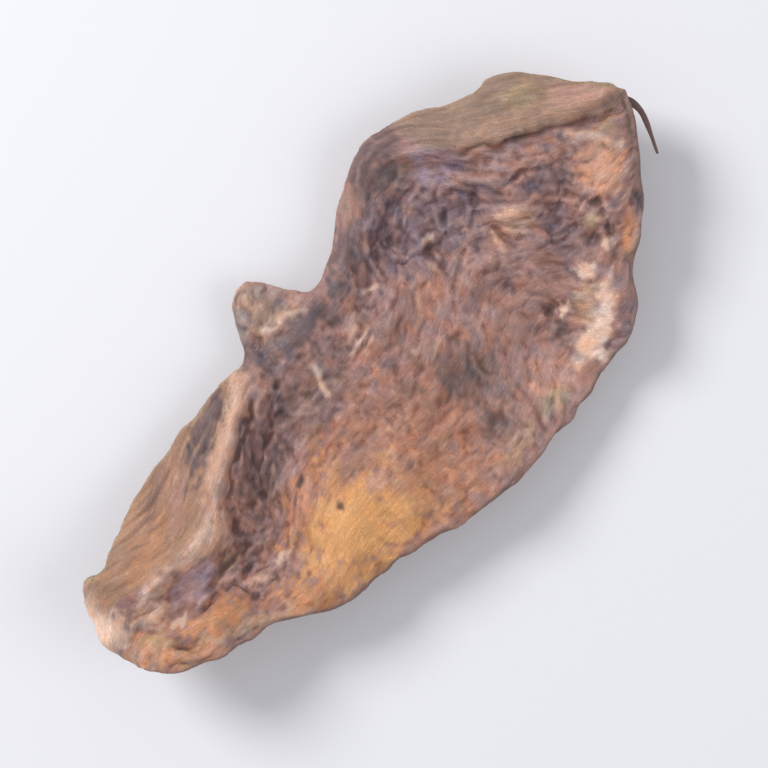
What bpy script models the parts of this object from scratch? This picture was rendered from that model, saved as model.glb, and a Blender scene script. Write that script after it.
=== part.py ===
"""Dried porcini slice: a wedge cut down through a mushroom cap, shrunk and curled as it dried.

Metres, +Z up. +X runs along the slice, from its narrow rolled tip to its far corner, and +Y
points from the skin of the cap towards the pores. The slice lies on three small flat spots,
with the origin under the middle of its bounding box. It grew as one piece, so it is one object.
"""

import math

import bmesh
import bpy
import numpy as np
from mathutils import Vector, noise

MM = 0.001

# Driving dimensions in millimetres. Plan points are (x, y).
FLESH_THICKNESS = 3.3
RIM_THICKNESS_SKIN = 2.5
RIM_THICKNESS_PORES = 1.5
END_ROUNDING = 1.5
BLUNTNESS = 4.0
TIP_X = -32.5
CORNER_X = 32.0

SKIN_EDGE = (
    (TIP_X, -1.2), (-31.6, -4.2), (-28.7, -6.8), (-24.5, -8.6), (-20.4, -9.9), (-17.4, -12.2),
    (-11.0, -13.2), (-7.0, -13.9), (-2.0, -15.3), (6.0, -15.5), (14.5, -14.3), (19.6, -12.5),
    (21.2, -10.2), (24.6, -7.9), (28.6, -3.3), (31.0, -0.1), (CORNER_X, 2.2),
)
PORE_EDGE = (
    (TIP_X, -1.2), (-31.6, 2.7), (-28.2, 4.2), (-22.0, 6.7), (-16.0, 7.9), (-11.0, 8.4),
    (-8.6, 8.6), (-6.6, 7.3), (0.6, 8.2), (4.1, 9.5), (8.7, 12.9), (12.5, 14.4), (16.4, 14.0),
    (21.5, 11.1), (26.6, 9.4), (28.4, 6.7), (CORNER_X, 2.2),
)
# The line where the cut flesh meets the pores, on the upper face.
PORE_LINE = (
    (TIP_X, -1.2), (-30.0, 1.0), (-26.5, 0.7), (-21.4, 0.4), (-16.6, 2.4), (-9.5, 5.9),
    (-5.0, 6.9), (1.0, 7.3), (5.0, 8.4), (8.0, 10.2), (12.0, 12.1), (15.7, 10.6), (18.8, 7.6),
    (23.0, 5.2), (27.1, 3.3), (CORNER_X, 2.2),
)

# The torn remains of the stem, on the pore side.
STUB_X, STUB_REACH, STUB_HALF_WIDTH = -3.4, 6.5, 2.9

# Height of the rolled pore layer above the flesh: (x, height).
ROLL_HEIGHT = ((TIP_X, 0.6), (-27.0, 0.9), (-17.0, 1.3), (-10.0, 1.2), (-5.0, 0.4), (4.0, 0.2),
               (12.0, 0.6), (22.0, 0.9), (CORNER_X, 0.6))
ROLL_FALL, CREST_WIDTH = 1.2, 1.5

# The furrow in the flesh beside the rolled pore layer.
VALLEY_LINE = ((-27.0, -2.0), (-23.5, -2.4), (-17.2, -2.0), (-12.2, 1.6), (-6.6, 4.6), (-2.0, 5.2))
VALLEY_DEPTH, VALLEY_WIDTH = 0.5, 1.6

# Buckles, which bend the whole slice: x, y, half-length, half-width, turn in degrees, height.
BUCKLES = (
    (-10.6, -8.6, 9.0, 4.2, 10.0, 1.5),
    (-31.0, 0.2, 1.9, 4.0, 8.0, 1.0),
    (25.3, -1.9, 3.0, 4.2, -42.0, 1.1),
    (5.4, -7.6, 3.0, 4.0, 25.0, -1.0),
    (12.4, 5.2, 6.0, 3.0, -35.0, -0.8),
    (-3.4, -2.5, 5.5, 2.6, 35.0, -0.6),
    (3.6, 1.8, 5.2, 2.4, 25.0, 0.7),
    (2.0, -14.6, 4.5, 2.6, 0.0, 0.7),
    (21.6, 9.0, 4.6, 2.6, -30.0, 0.8),
    (11.5, 14.0, 4.0, 2.4, 0.0, 0.7),
    (-20.5, 5.6, 5.0, 2.6, 20.0, -0.7),
)
# Swellings and hollows of the upper face alone, as above.
UPPER_FORMS = (
    (-23.8, -5.8, 2.9, 1.8, -8.0, 1.2),
    (-23.6, -2.4, 2.4, 1.2, 12.0, -0.4),
    (17.0, 0.9, 2.0, 1.2, -30.0, 0.8),
    (15.8, -11.0, 1.3, 3.6, -52.0, 0.6),
    (18.5, -6.8, 1.3, 1.3, 0.0, 0.5),
    (-3.2, 11.2, 2.0, 2.8, 0.0, 0.6),
)
# Creases of the upper face: points, depth, half-width.
UPPER_CREASES = (
    (((14.6, 10.4), (18.6, 6.8), (22.8, 4.7), (27.1, 2.7), (30.2, 1.2)), 0.9, 1.2),
    (((24.6, 1.2), (20.6, -1.6), (18.6, -4.6), (14.2, -8.0)), 0.8, 1.2),
    (((-28.0, -2.6), (-25.6, -3.8), (-22.0, -4.1), (-20.6, -6.4)), 0.8, 1.1),
    (((7.6, 5.2), (11.0, 3.7), (15.2, 4.2)), 0.6, 1.2),
)
# Swellings and hollows of the lower face, whose heights count downwards.
LOWER_FORMS = (
    (0.0, 0.0, 14.0, 5.0, 12.0, -0.5),
    (-21.0, -1.5, 7.0, 3.4, -12.0, -0.3),
    (20.0, 3.0, 6.0, 3.0, -30.0, -0.3),
)
# The three low points that the slice rests on, round its weight: (x, y, dip). The whole slice
# dips there, and its lower face a little more.
FEET = ((-17.0, -4.6, 2.0), (13.0, -8.8, 1.1), (9.5, 7.6, 1.1))
FOOT_RADIUS, FOOT_DROP, FOOT_FLAT = 4.6, 0.6, 0.3

# How far drying has lifted the slice's ends and edges.
TIP_LIFT, CORNER_LIFT, SKIN_LIFT, TWIST = 4.6, 3.0, 1.1, 0.9
LIFT_STARTS = 8.0

# Wrinkles: (lengthwise wavelength, crosswise wavelength, height). The first lot bend both faces.
FURROWS = ((15.0, 4.4, 0.75), (8.0, 3.0, 0.4))
LUMPS = (7.0, 5.5, 0.5)
FLOW_WIDTH = 17.0
TUBE_PITCH, TUBE_HEIGHT = 3.4, 0.16
SKIN_PUCKER_PITCH, SKIN_PUCKER_HEIGHT = 3.1, 0.3
SOFTENING_ROUNDS = 2

RING_POINTS = 66
STATIONS = 80
END_CROWDING = 0.35
TOP_CROWDING = 0.22


def smooth_line(points, x):
    """The y of a smooth line through points at each x: cubic pieces with averaged slopes."""
    px, py = np.array(points, float).T
    slope = np.gradient(py, px)
    i = np.clip(np.searchsorted(px, x) - 1, 0, len(px) - 2)
    span = px[i + 1] - px[i]
    t = np.clip((x - px[i]) / span, 0.0, 1.0)
    a, b = slope[i] * span, slope[i + 1] * span
    return (
        py[i] * (1 + 2 * t) * (1 - t) ** 2
        + a * t * (1 - t) ** 2
        + py[i + 1] * t**2 * (3 - 2 * t)
        + b * t**2 * (t - 1)
    )


def ease(t):
    t = np.clip(t, 0.0, 1.0)
    return t * t * (3 - 2 * t)


def rounded_end(distance, radius):
    """Rises from 0 to 1 as a quarter circle over radius."""
    return np.sqrt(1 - (1 - np.clip(distance / radius, 0.0, 1.0)) ** 2)


def stub(x):
    return STUB_REACH * np.exp(-(((x - STUB_X) / STUB_HALF_WIDTH) ** 4))


def edges(x):
    """The skin edge's and the pore edge's y at each x, without the stub."""
    low = smooth_line(SKIN_EDGE, x)
    high = smooth_line(PORE_EDGE, x)
    closing = np.minimum(
        rounded_end(x - TIP_X, 2.6), rounded_end(CORNER_X - x, 0.9)
    )
    middle, half = (low + high) / 2, np.maximum(high - low, 0.0) / 2
    return middle - half * closing, middle + half * closing


def swelling(x, y, form):
    """A smooth oval mound, or a hollow where its height is negative."""
    cx, cy, long_half, short_half, turn, height = form
    c, s = math.cos(math.radians(turn)), math.sin(math.radians(turn))
    u = ((x - cx) * c + (y - cy) * s) / long_half
    v = (-(x - cx) * s + (y - cy) * c) / short_half
    return height * np.exp(-(u * u + v * v))


def distance_to(line, x, y):
    """How far each plan point is from a chain of straight pieces."""
    nearest = np.full(np.shape(x), np.inf)
    for (ax, ay), (bx, by) in zip(line, line[1:]):
        dx, dy = bx - ax, by - ay
        t = np.clip(((x - ax) * dx + (y - ay) * dy) / (dx * dx + dy * dy), 0.0, 1.0)
        nearest = np.minimum(nearest, np.hypot(x - ax - t * dx, y - ay - t * dy))
    return nearest


def crease(x, y, line, depth, half_width):
    return -depth * np.exp(-((distance_to(line, x, y) / half_width) ** 2))


def upper_face(x, y):
    """Height of the upper face above the middle of the slice's thickness."""
    low, high = edges(x)
    pores = np.clip(smooth_line(PORE_LINE, x), low, high)
    roll = smooth_line(ROLL_HEIGHT, x)
    inward = np.maximum(pores - y, 0.0)
    flesh = FLESH_THICKNESS / 2 + roll * np.exp(-((inward / ROLL_FALL) ** 2))
    skin_side = ease((y - low) / 5.0)
    flesh += (RIM_THICKNESS_SKIN - FLESH_THICKNESS) / 2 * (1 - skin_side)
    valley_y = smooth_line(VALLEY_LINE, x)
    in_valley = ease((x + 28.0) / 4.0) * ease((0.0 - x) / 5.0)
    flesh -= VALLEY_DEPTH * in_valley * np.exp(-(((y - valley_y) / VALLEY_WIDTH) ** 2))
    for form in UPPER_FORMS:
        flesh += swelling(x, y, form)
    for line, depth, half_width in UPPER_CREASES:
        flesh += crease(x, y, line, depth, half_width)
    crest = FLESH_THICKNESS / 2 + roll
    outward = np.clip((y - pores) / np.maximum(high - pores, 0.3), 0.0, 1.0)
    layer = crest + (RIM_THICKNESS_PORES / 2 - crest) * outward**1.25
    onto_layer = ease((y - pores) / CREST_WIDTH + 0.5)
    return flesh * (1 - onto_layer) + layer * onto_layer


def lower_face(x, y):
    """Depth of the lower face below the middle of the slice's thickness."""
    low, high = edges(x)
    depth = np.full(np.shape(x), FLESH_THICKNESS / 2)
    depth += (RIM_THICKNESS_SKIN - FLESH_THICKNESS) / 2 * (1 - ease((y - low) / 4.0))
    depth += (RIM_THICKNESS_PORES - FLESH_THICKNESS) / 2 * (1 - ease((high - y) / 4.5))
    for form in LOWER_FORMS:
        depth += swelling(x, y, form)
    for cx, cy, _ in FEET:
        depth += swelling(x, y, (cx, cy, FOOT_RADIUS, FOOT_RADIUS, 0.0, FOOT_DROP))
    return depth


def lift(x, y):
    """The slice's curl: its ends and its skin edge rise as it dries, it twists and it buckles."""
    low, high = edges(x)
    tip = np.clip((-x - LIFT_STARTS) / (-TIP_X - LIFT_STARTS), 0.0, 1.0)
    corner = np.clip((x - LIFT_STARTS) / (CORNER_X - LIFT_STARTS), 0.0, 1.0)
    skin = 1 - np.clip((y - low) / 9.0, 0.0, 1.0)
    twist = TWIST * (x / CORNER_X) * (y / 12.0)
    height = TIP_LIFT * tip**2 + CORNER_LIFT * corner**2 + SKIN_LIFT * skin**2 + twist
    for form in BUCKLES:
        height += swelling(x, y, form)
    for cx, cy, dip in FEET:
        height -= swelling(x, y, (cx, cy, FOOT_RADIUS, FOOT_RADIUS, 0.0, dip))
    return height


def patterned(x, y, length, width, seed):
    """Smooth noise between -1 and 1, stretched along the slice, that wanders a little."""
    wander = noise.noise(Vector((x / 11.0, y / 9.0, seed + 40.0)))
    return noise.noise(Vector((x / length + wander, y / width + 0.9 * wander, seed)))


def wrinkle(x, y, z, across, on_pores, on_skin, upward):
    """Height of the wrinkles at a point of the surface. Furrows bend both faces the same way."""
    face = 3.7 if upward > 0 else 17.3
    height = 0.0
    for seed, (length, width, tall) in enumerate(FURROWS):
        ridge = 1 - 2.6 * abs(patterned(x, across, length, width, 3.7 + 5.0 * seed))
        height += tall * ridge * upward * (1 - 0.6 * on_pores) * (1 - 0.5 * on_skin)
    height += LUMPS[2] * patterned(x, y, LUMPS[0], LUMPS[1], face + 21.0) * abs(upward)
    tubes = math.sin(2 * math.pi * (x + 0.5 * patterned(x, y, 6.0, 6.0, 2.0)) / TUBE_PITCH)
    height += TUBE_HEIGHT * tubes * on_pores
    pucker = noise.noise(Vector((x / SKIN_PUCKER_PITCH, y / SKIN_PUCKER_PITCH, z / 2.2)))
    return height + SKIN_PUCKER_HEIGHT * pucker * on_skin


def section(low, high):
    """A cross-section's rounded outline, as shares of its half-width and half-thickness.

    They are listed against the share of the way round it, from the pore edge over the top.
    """
    angle = np.linspace(0.0, 2 * math.pi, 721)
    c, s = np.cos(angle), np.sin(angle)
    across = np.sign(c) * np.abs(c) ** (2 / BLUNTNESS)
    up = np.sign(s) * np.abs(s) ** (2 / BLUNTNESS)
    step = np.hypot(
        np.diff(across) * (high - low) / 2, np.diff(up) * FLESH_THICKNESS / 2
    )
    return np.concatenate([[0.0], np.cumsum(step)]) / step.sum(), across, up


def shape_points(directions):
    """Turns the directions of a sphere's points, poles on Z, into points of the slice in mm."""
    toward_corner = np.arccos(np.clip(-directions[:, 2], -1.0, 1.0)) / math.pi
    crowded = toward_corner - END_CROWDING * np.sin(2 * math.pi * toward_corner) / (2 * math.pi)
    x = TIP_X + (CORNER_X - TIP_X) * crowded
    turn = np.arctan2(directions[:, 1], directions[:, 0]) / (2 * math.pi) % 1.0
    turn = turn - TOP_CROWDING * np.sin(math.pi * turn) ** 2 * 0.5
    across, up = np.zeros(len(x)), np.zeros(len(x))
    for station in np.unique(np.round(toward_corner, 6)):
        here = np.abs(toward_corner - station) < 2e-6
        low, high = edges(x[here][:1])
        share, table_across, table_up = section(low[0], high[0])
        across[here] = np.interp(turn[here], share, table_across)
        up[here] = np.interp(turn[here], share, table_up)
    low, high = edges(x)
    y = (low + high) / 2 + (high - low) / 2 * across + stub(x) * ease(across * 1.3 - 0.3)
    ends = rounded_end(np.minimum(x - TIP_X, CORNER_X - x), END_ROUNDING)
    top, bottom = upper_face(x, y) * ends, -lower_face(x, y) * ends
    z = (top + bottom) / 2 + (top - bottom) / 2 * up + lift(x, y)
    return np.stack([x, y, z], axis=1)


def wrinkle_heights(points, normals):
    x, y, z = points.T
    low, high = edges(x)
    pores = np.clip(smooth_line(PORE_LINE, x), low, high)
    across = (pores - y) * np.sqrt(FLOW_WIDTH / np.maximum(pores - low, 5.0))
    band = ease((y - pores) / 1.2) * ease(normals[:, 2] * 2 + 0.6)
    wall = np.clip(1 - np.abs(normals[:, 2]) * 1.6, 0.0, 1.0)
    skin_wall = wall * ease((low + 4.0 - y) / 2.0)
    near_end = ease(np.minimum(x - TIP_X, CORNER_X - x) / 4.0)
    heights = [
        wrinkle(*values)
        for values in zip(x, y, z, across, band, skin_wall, normals[:, 2])
    ]
    return np.array(heights) * near_end


def soften(mesh):
    """Takes the sharpest corners off the wrinkles, as drying does."""
    bm = bmesh.new()
    bm.from_mesh(mesh)
    for _ in range(SOFTENING_ROUNDS):
        bmesh.ops.smooth_vert(
            bm, verts=bm.verts, factor=0.5, use_axis_x=True, use_axis_y=True, use_axis_z=True
        )
    bm.to_mesh(mesh)
    bm.free()


def make_slice():
    """A sphere's mesh drawn out into the slice, wrinkled, and set down on its three feet."""
    bpy.ops.mesh.primitive_uv_sphere_add(segments=RING_POINTS, ring_count=STATIONS, radius=1.0)
    obj = bpy.context.active_object
    obj.name = "porcini_slice"
    mesh = obj.data
    mesh.name = "porcini_slice"
    directions = np.empty(len(mesh.vertices) * 3)
    mesh.vertices.foreach_get("co", directions)
    points = shape_points(directions.reshape(-1, 3))
    mesh.vertices.foreach_set("co", points.ravel())
    mesh.update()

    normals = np.empty(len(mesh.vertices) * 3)
    mesh.vertex_normals.foreach_get("vector", normals)
    normals = normals.reshape(-1, 3)
    points += normals * wrinkle_heights(points, normals)[:, None]
    mesh.vertices.foreach_set("co", points.ravel())
    soften(mesh)
    softened = np.empty(len(mesh.vertices) * 3)
    mesh.vertices.foreach_get("co", softened)
    points = softened.reshape(-1, 3)

    lowest = max(
        points[np.hypot(points[:, 0] - cx, points[:, 1] - cy) < FOOT_RADIUS / 2, 2].min()
        for cx, cy, _ in FEET
    )
    ground = lowest + FOOT_FLAT
    points[:, 2] = np.maximum(points[:, 2] - ground, 0.0)
    middle = (points.min(axis=0) + points.max(axis=0)) / 2
    points[:, :2] -= middle[:2]
    mesh.vertices.foreach_set("co", (points * MM).ravel())
    mesh.shade_smooth()
    mesh.update()
    return obj


def dried_flesh():
    material = bpy.data.materials.new("dried_mushroom")
    material.use_nodes = True
    shader = material.node_tree.nodes["Principled BSDF"]
    shader.inputs["Base Color"].default_value = (0.36, 0.185, 0.105, 1.0)
    shader.inputs["Roughness"].default_value = 0.62
    shader.inputs["Metallic"].default_value = 0.0
    return material


def main():
    for obj in list(bpy.data.objects):
        bpy.data.objects.remove(obj, do_unlink=True)
    mushroom = make_slice()
    mushroom.data.materials.append(dried_flesh())
    collection = bpy.data.collections.new("dried_porcini_slice")
    bpy.context.scene.collection.children.link(collection)
    for holder in list(mushroom.users_collection):
        holder.objects.unlink(mushroom)
    collection.objects.link(mushroom)


main()
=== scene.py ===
"""The looks of a dried porcini slice: its wrinkled surface, colours and finish, seen from above.

Shapes are worked out in millimetres, in the plan that part.py draws the slice in: +X runs from the
rolled tip to the far corner, and +Y from the skin of the cap towards the pores.
"""

import math

import bpy
import numpy as np
from mathutils import Matrix, Vector


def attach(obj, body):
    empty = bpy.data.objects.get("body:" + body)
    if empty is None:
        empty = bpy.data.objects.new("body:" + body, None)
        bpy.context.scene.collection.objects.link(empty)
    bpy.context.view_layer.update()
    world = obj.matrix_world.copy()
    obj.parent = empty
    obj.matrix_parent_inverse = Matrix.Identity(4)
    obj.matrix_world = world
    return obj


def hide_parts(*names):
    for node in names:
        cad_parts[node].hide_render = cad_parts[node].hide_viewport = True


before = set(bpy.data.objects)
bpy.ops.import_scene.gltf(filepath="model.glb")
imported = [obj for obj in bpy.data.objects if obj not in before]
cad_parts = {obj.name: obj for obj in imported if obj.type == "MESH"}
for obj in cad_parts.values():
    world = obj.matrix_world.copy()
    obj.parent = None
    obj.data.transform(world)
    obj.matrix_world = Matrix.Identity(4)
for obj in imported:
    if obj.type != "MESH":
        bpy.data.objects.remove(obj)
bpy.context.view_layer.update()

MM = 0.001
# The middle of the slice's box, in the plan of part.py.
PLAN_MIDDLE = (-0.25, -0.598)
TIP_X, CORNER_X = -32.5, 32.0

# Lines along the slice in its plan: part.py's two edges, and where the flesh meets the pores.
SKIN_EDGE = (
    (TIP_X, -1.2), (-31.6, -4.2), (-28.7, -6.8), (-24.5, -8.6), (-20.4, -9.9), (-17.4, -12.2),
    (-11.0, -13.2), (-7.0, -13.9), (-2.0, -15.3), (6.0, -15.5), (14.5, -14.3), (19.6, -12.5),
    (21.2, -10.2), (24.6, -7.9), (28.6, -3.3), (31.0, -0.1), (CORNER_X, 2.2),
)
PORE_EDGE = (
    (TIP_X, -1.2), (-31.6, 2.7), (-28.2, 4.2), (-22.0, 6.7), (-16.0, 7.9), (-11.0, 8.4),
    (-8.6, 8.6), (-6.6, 7.3), (0.6, 8.2), (4.1, 9.5), (8.7, 12.9), (12.5, 14.4), (16.4, 14.0),
    (21.5, 11.1), (26.6, 9.4), (28.4, 6.7), (CORNER_X, 2.2),
)
PORE_LINE = (
    (TIP_X, -1.2), (-30.0, 1.0), (-26.5, 0.7), (-21.4, 0.4), (-16.6, 2.4), (-9.5, 5.9),
    (-5.0, 6.9), (1.0, 7.3), (5.0, 8.4), (8.0, 10.2), (12.0, 12.1), (15.7, 10.6), (18.8, 7.6),
    (23.0, 5.0), (27.1, 2.8), (30.0, 1.1), (CORNER_X, 1.4),
)
# The torn stub of the stem, which has no pores.
STUB_X, STUB_HALF_WIDTH = -3.4, 3.0
# How far the cap's skin reaches in from its edge, and where it turns round the far corner.
SKIN_WIDTH, CORNER_SKIN_X = 3.5, 27.0
# The width of flesh that the wrinkles are drawn for, and the least that they are fitted to.
FLOW_WIDTH, LEAST_FLOW_WIDTH = 17.0, 5.0

# The fine mesh, and how much it is softened before it is wrinkled.
VOXEL = 0.208
SOFTENING_ROUNDS = 18

# Spacing and size of the fields of waves that the wrinkles are read from.
FIELD_STEP, FIELD_COLUMNS, FIELD_ROWS = 0.1, 768, 512
# Where the seeds of each group of random fields start.
UPPER_SEED, LOWER_SEED, PORE_SEED, SKIN_SEED = 100, 200, 300, 400
DETAIL_SEED, COLOUR_SEED, PEEL_SEED = 500, 600, 700

# Swells of the flesh, and the thin furrows in it: wavelength, stretch along the slice, height.
SWELLS = ((5.0, 1.5, 0.15), (2.6, 1.5, 0.1), (1.3, 1.4, 0.06), (0.75, 1.3, 0.03))
FURROWS = ((2.6, 2.6, 0.13), (1.5, 2.2, 0.08), (0.9, 1.8, 0.05))
FURROW_SHARPNESS = 0.22
# Wrinkles that part the flesh into irregular cells: cell size, stretch, depth, half-width.
WRINKLE_CELLS = ((2.9, 1.7, 0.2, 0.24), (1.5, 1.5, 0.1, 0.15))
# The relief of the lower face against the upper, and how much flatter the side walls and the
# line beside the pores are, the last within so many millimetres.
LOWER_SHARE, WALL_CALM, PORE_LINE_CALM, PORE_LINE_REACH = 0.7, 0.55, 0.8, 0.9
# The flesh's relief is averaged once, so that no furrow is thinner than the mesh can show, and
# then raised by this.
AFTER_AVERAGING = 1.2
# Relief of the pore layer: its streaks above and its lumps on the walls.
STREAK_HEIGHT, LUMP_HEIGHT = 0.03, 0.06
# Relief of the cap's skin: its pucker and fine furrows, and the lip where it curls over the edge.
PUCKER_HEIGHT, PUCKER_FURROW = 0.08, 0.05
LIP_HEIGHT, LIP_INSET, LIP_HALF_WIDTH = 0.22, 0.75, 0.4
# How crumpled the flesh is, its limits, and where it is more or less so: x, y, half-length,
# half-width, turn, change.
CRUMPLED_EVERYWHERE, LEAST_CRUMPLED, MOST_CRUMPLED = 0.5, 0.1, 1.6
CRUMPLED = (
    (12.5, 5.4, 8.0, 4.0, -22.0, 0.65),
    (21.5, -3.0, 3.2, 5.0, -40.0, 0.5),
    (-12.5, 0.6, 6.5, 2.6, 36.0, 0.35),
    (-19.0, -4.6, 3.4, 2.4, -15.0, 0.5),
    (-10.6, -8.6, 7.0, 4.6, 12.0, -0.35),
    (-23.6, -2.2, 2.6, 1.2, 5.0, -0.4),
    (-23.8, -5.7, 2.2, 1.4, -8.0, -0.5),
    (-31.2, 0.2, 1.6, 3.4, 8.0, -0.5),
    (16.0, -10.9, 3.6, 1.2, 33.0, -0.5),
    (25.6, -1.7, 2.4, 2.0, 50.0, -0.5),
    (-27.0, -3.8, 5.0, 2.2, -30.0, -0.3),
)
# How far the creases, folds and pits below stray from where they are set.
SWAY = 0.16
# Sharp creases in the upper face: points, depth, half-width.
CREASES = (
    (
        ((-8.8, 5.4), (-12.0, 3.7), (-14.0, 2.5), (-16.3, 0.8), (-17.6, -0.6), (-18.2, -1.6)),
        0.42, 0.3,
    ),
    (((-7.6, 3.4), (-11.6, 1.5), (-13.4, 0.3), (-14.3, -1.2), (-15.4, -2.4)), 0.3, 0.34),
    (((-14.8, 4.9), (-12.5, 6.2), (-10.6, 7.6)), 0.3, 0.5),
    (
        ((18.2, 7.6), (20.5, 6.0), (22.8, 4.9), (25.0, 3.6), (27.0, 2.5), (28.8, 1.4), (30.2, 0.7)),
        0.36, 0.27,
    ),
    (((18.5, 3.2), (20.5, 3.0), (22.4, 2.0)), 0.4, 0.3),
    (((7.8, 5.1), (10.0, 4.1), (11.0, 3.4), (12.6, 3.9)), 0.4, 0.3),
    (((14.2, 2.4), (15.6, 3.3), (16.8, 4.6)), 0.35, 0.28),
    (((15.3, 1.8), (15.9, 0.3), (16.5, -1.3)), 0.5, 0.27),
    (((-25.4, -3.9), (-23.6, -4.2), (-21.8, -4.0), (-20.9, -4.8), (-20.7, -6.6)), 0.5, 0.3),
    (((-27.9, -4.2), (-27.3, -5.2), (-26.3, -6.3)), 0.26, 0.36),
    (((22.6, -2.5), (23.3, -3.5), (23.0, -4.6)), 0.5, 0.32),
    (((19.4, -5.0), (18.7, -3.6), (19.0, -1.8)), 0.22, 0.36),
    (((0.0, 2.6), (2.3, 3.3)), 0.3, 0.27),
    (((-0.4, 1.6), (2.0, 2.4)), 0.28, 0.27),
    (((2.6, 4.4), (4.8, 4.1)), 0.28, 0.27),
)
# Raised edges and thin folds: points, height, half-width.
THIN_RIDGES = (
    (
        ((-21.0, -0.4), (-18.8, 0.3), (-16.2, 2.7), (-13.4, 4.2), (-10.4, 5.9), (-9.0, 7.6)),
        0.4, 0.6,
    ),
    (((-28.0, -0.4), (-26.2, 0.3), (-22.6, -0.2)), 0.25, 0.45),
    (((-4.6, 8.7), (-2.2, 8.3), (-0.8, 8.0)), 0.4, 0.4),
    (((-3.4, 12.6), (-3.6, 11.2), (-3.2, 9.6)), 0.25, 0.4),
    (((-5.0, 11.2), (-4.9, 9.9), (-4.3, 9.0)), 0.2, 0.36),
    (((-27.2, -3.3), (-25.6, -3.7), (-24.0, -3.5)), 0.3, 0.28),
    (((-3.4, 3.7), (-3.9, 2.5), (-4.3, 1.2)), 0.3, 0.24),
    (((-20.2, -5.4), (-19.4, -6.0), (-18.7, -6.1)), 0.3, 0.28),
    (((-32.1, -1.8), (-31.6, 0.4), (-30.7, 2.6)), 0.4, 0.8),
    (((-29.8, -0.4), (-28.4, -1.4), (-27.4, -2.0)), 0.3, 0.4),
    (((25.2, 2.5), (26.6, 1.3), (27.5, 0.0), (28.1, -1.4)), 0.25, 0.36),
    (((0.2, 3.2), (2.4, 3.9)), 0.22, 0.27),
    (((-0.2, 2.1), (2.2, 2.85)), 0.2, 0.26),
    (((3.8, 5.2), (5.4, 4.8)), 0.2, 0.27),
)
# Small hollows and bumps: x, y, half-length, half-width, turn, height.
DETAILS = (
    (14.3, -7.2, 0.6, 0.45, 40.0, -0.3),
    (15.2, -8.0, 0.5, 0.45, 0.0, 0.45),
    (13.6, -9.2, 0.8, 0.6, 0.0, -0.15),
    (21.9, -4.3, 0.7, 0.6, 0.0, 0.1),
    (20.9, -5.4, 0.6, 0.5, 30.0, -0.4),
    (22.5, -5.9, 0.6, 0.45, 40.0, -0.4),
    (25.9, -5.6, 0.7, 0.5, 50.0, -0.3),
    (21.6, -6.5, 0.5, 0.4, 0.0, 0.3),
    (17.3, 0.9, 1.2, 0.7, -30.0, 0.4),
    (-19.5, -0.6, 1.5, 0.8, 15.0, 0.55),
    (-21.0, 0.0, 1.7, 0.7, 15.0, 0.3),
    (-27.4, -1.6, 1.3, 0.8, -25.0, 0.3),
    (-25.8, -0.5, 1.0, 0.5, 0.0, 0.2),
    (-30.8, -0.8, 0.9, 0.9, 0.0, 0.3),
    (-20.5, -2.8, 0.7, 0.5, 20.0, -0.12),
    (-19.7, -4.5, 0.5, 0.4, 0.0, -0.25),
    (-16.8, -5.9, 0.6, 0.4, 0.0, 0.3),
    (-10.2, -6.2, 0.3, 0.3, 0.0, -0.3),
    (-11.2, -2.5, 0.45, 0.3, 20.0, -0.25),
    (-6.8, 4.8, 0.4, 0.4, 0.0, -0.25),
    (-28.6, 0.3, 0.6, 0.4, 0.0, -0.2),
    (4.2, -11.0, 1.3, 0.9, 20.0, -0.35),
    (11.2, 4.4, 0.4, 0.35, 0.0, 0.25),
)

# Colours, as linear red, green and blue.
CREAM = (0.82, 0.56, 0.43)
SAND = (0.6, 0.355, 0.255)
TAN = (0.46, 0.285, 0.19)
FAWN = (0.265, 0.175, 0.145)
OLIVE = (0.41, 0.3, 0.17)
GOLD = (0.69, 0.335, 0.12)
AMBER = (0.545, 0.247, 0.115)
ORANGE = (0.62, 0.32, 0.205)
RUST = (0.5, 0.225, 0.14)
COPPER = (0.41, 0.185, 0.12)
ROSE = (0.49, 0.265, 0.21)
BROWN = (0.335, 0.18, 0.155)
UMBER = (0.2, 0.108, 0.1)
MAUVE = (0.2, 0.125, 0.14)
LAVENDER = (0.325, 0.21, 0.245)
LILAC = (0.5, 0.325, 0.34)
EARTH = (0.245, 0.134, 0.11)
SLATE = (0.165, 0.108, 0.1)
# The next colour is painted shade, laid where shade falls rather than being a colour of the flesh.
PAINTED_SHADE = (0.12, 0.075, 0.08)
# The next colour is painted shade that fills pits, crevices and crease lines.
PAINTED_CREVICE_SHADE = (0.07, 0.045, 0.038)
PORES_LEFT = (0.36, 0.192, 0.12)
PORES_RIGHT = (0.292, 0.185, 0.134)
PORES_OUTSIDE = (0.36, 0.23, 0.13)
SKIN = (0.15, 0.06, 0.035)
# How strongly the skin covers what is under it, and the lower face turns tan.
SKIN_STRENGTH, UNDER_TAN = 0.92, 0.6
# Where the pore layer changes colour, and between which x it is hidden from above.
PORES_CHANGE_X, PORES_HIDDEN_X, PORES_FADE = 4.0, (-7.6, 15.2), 1.6
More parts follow.
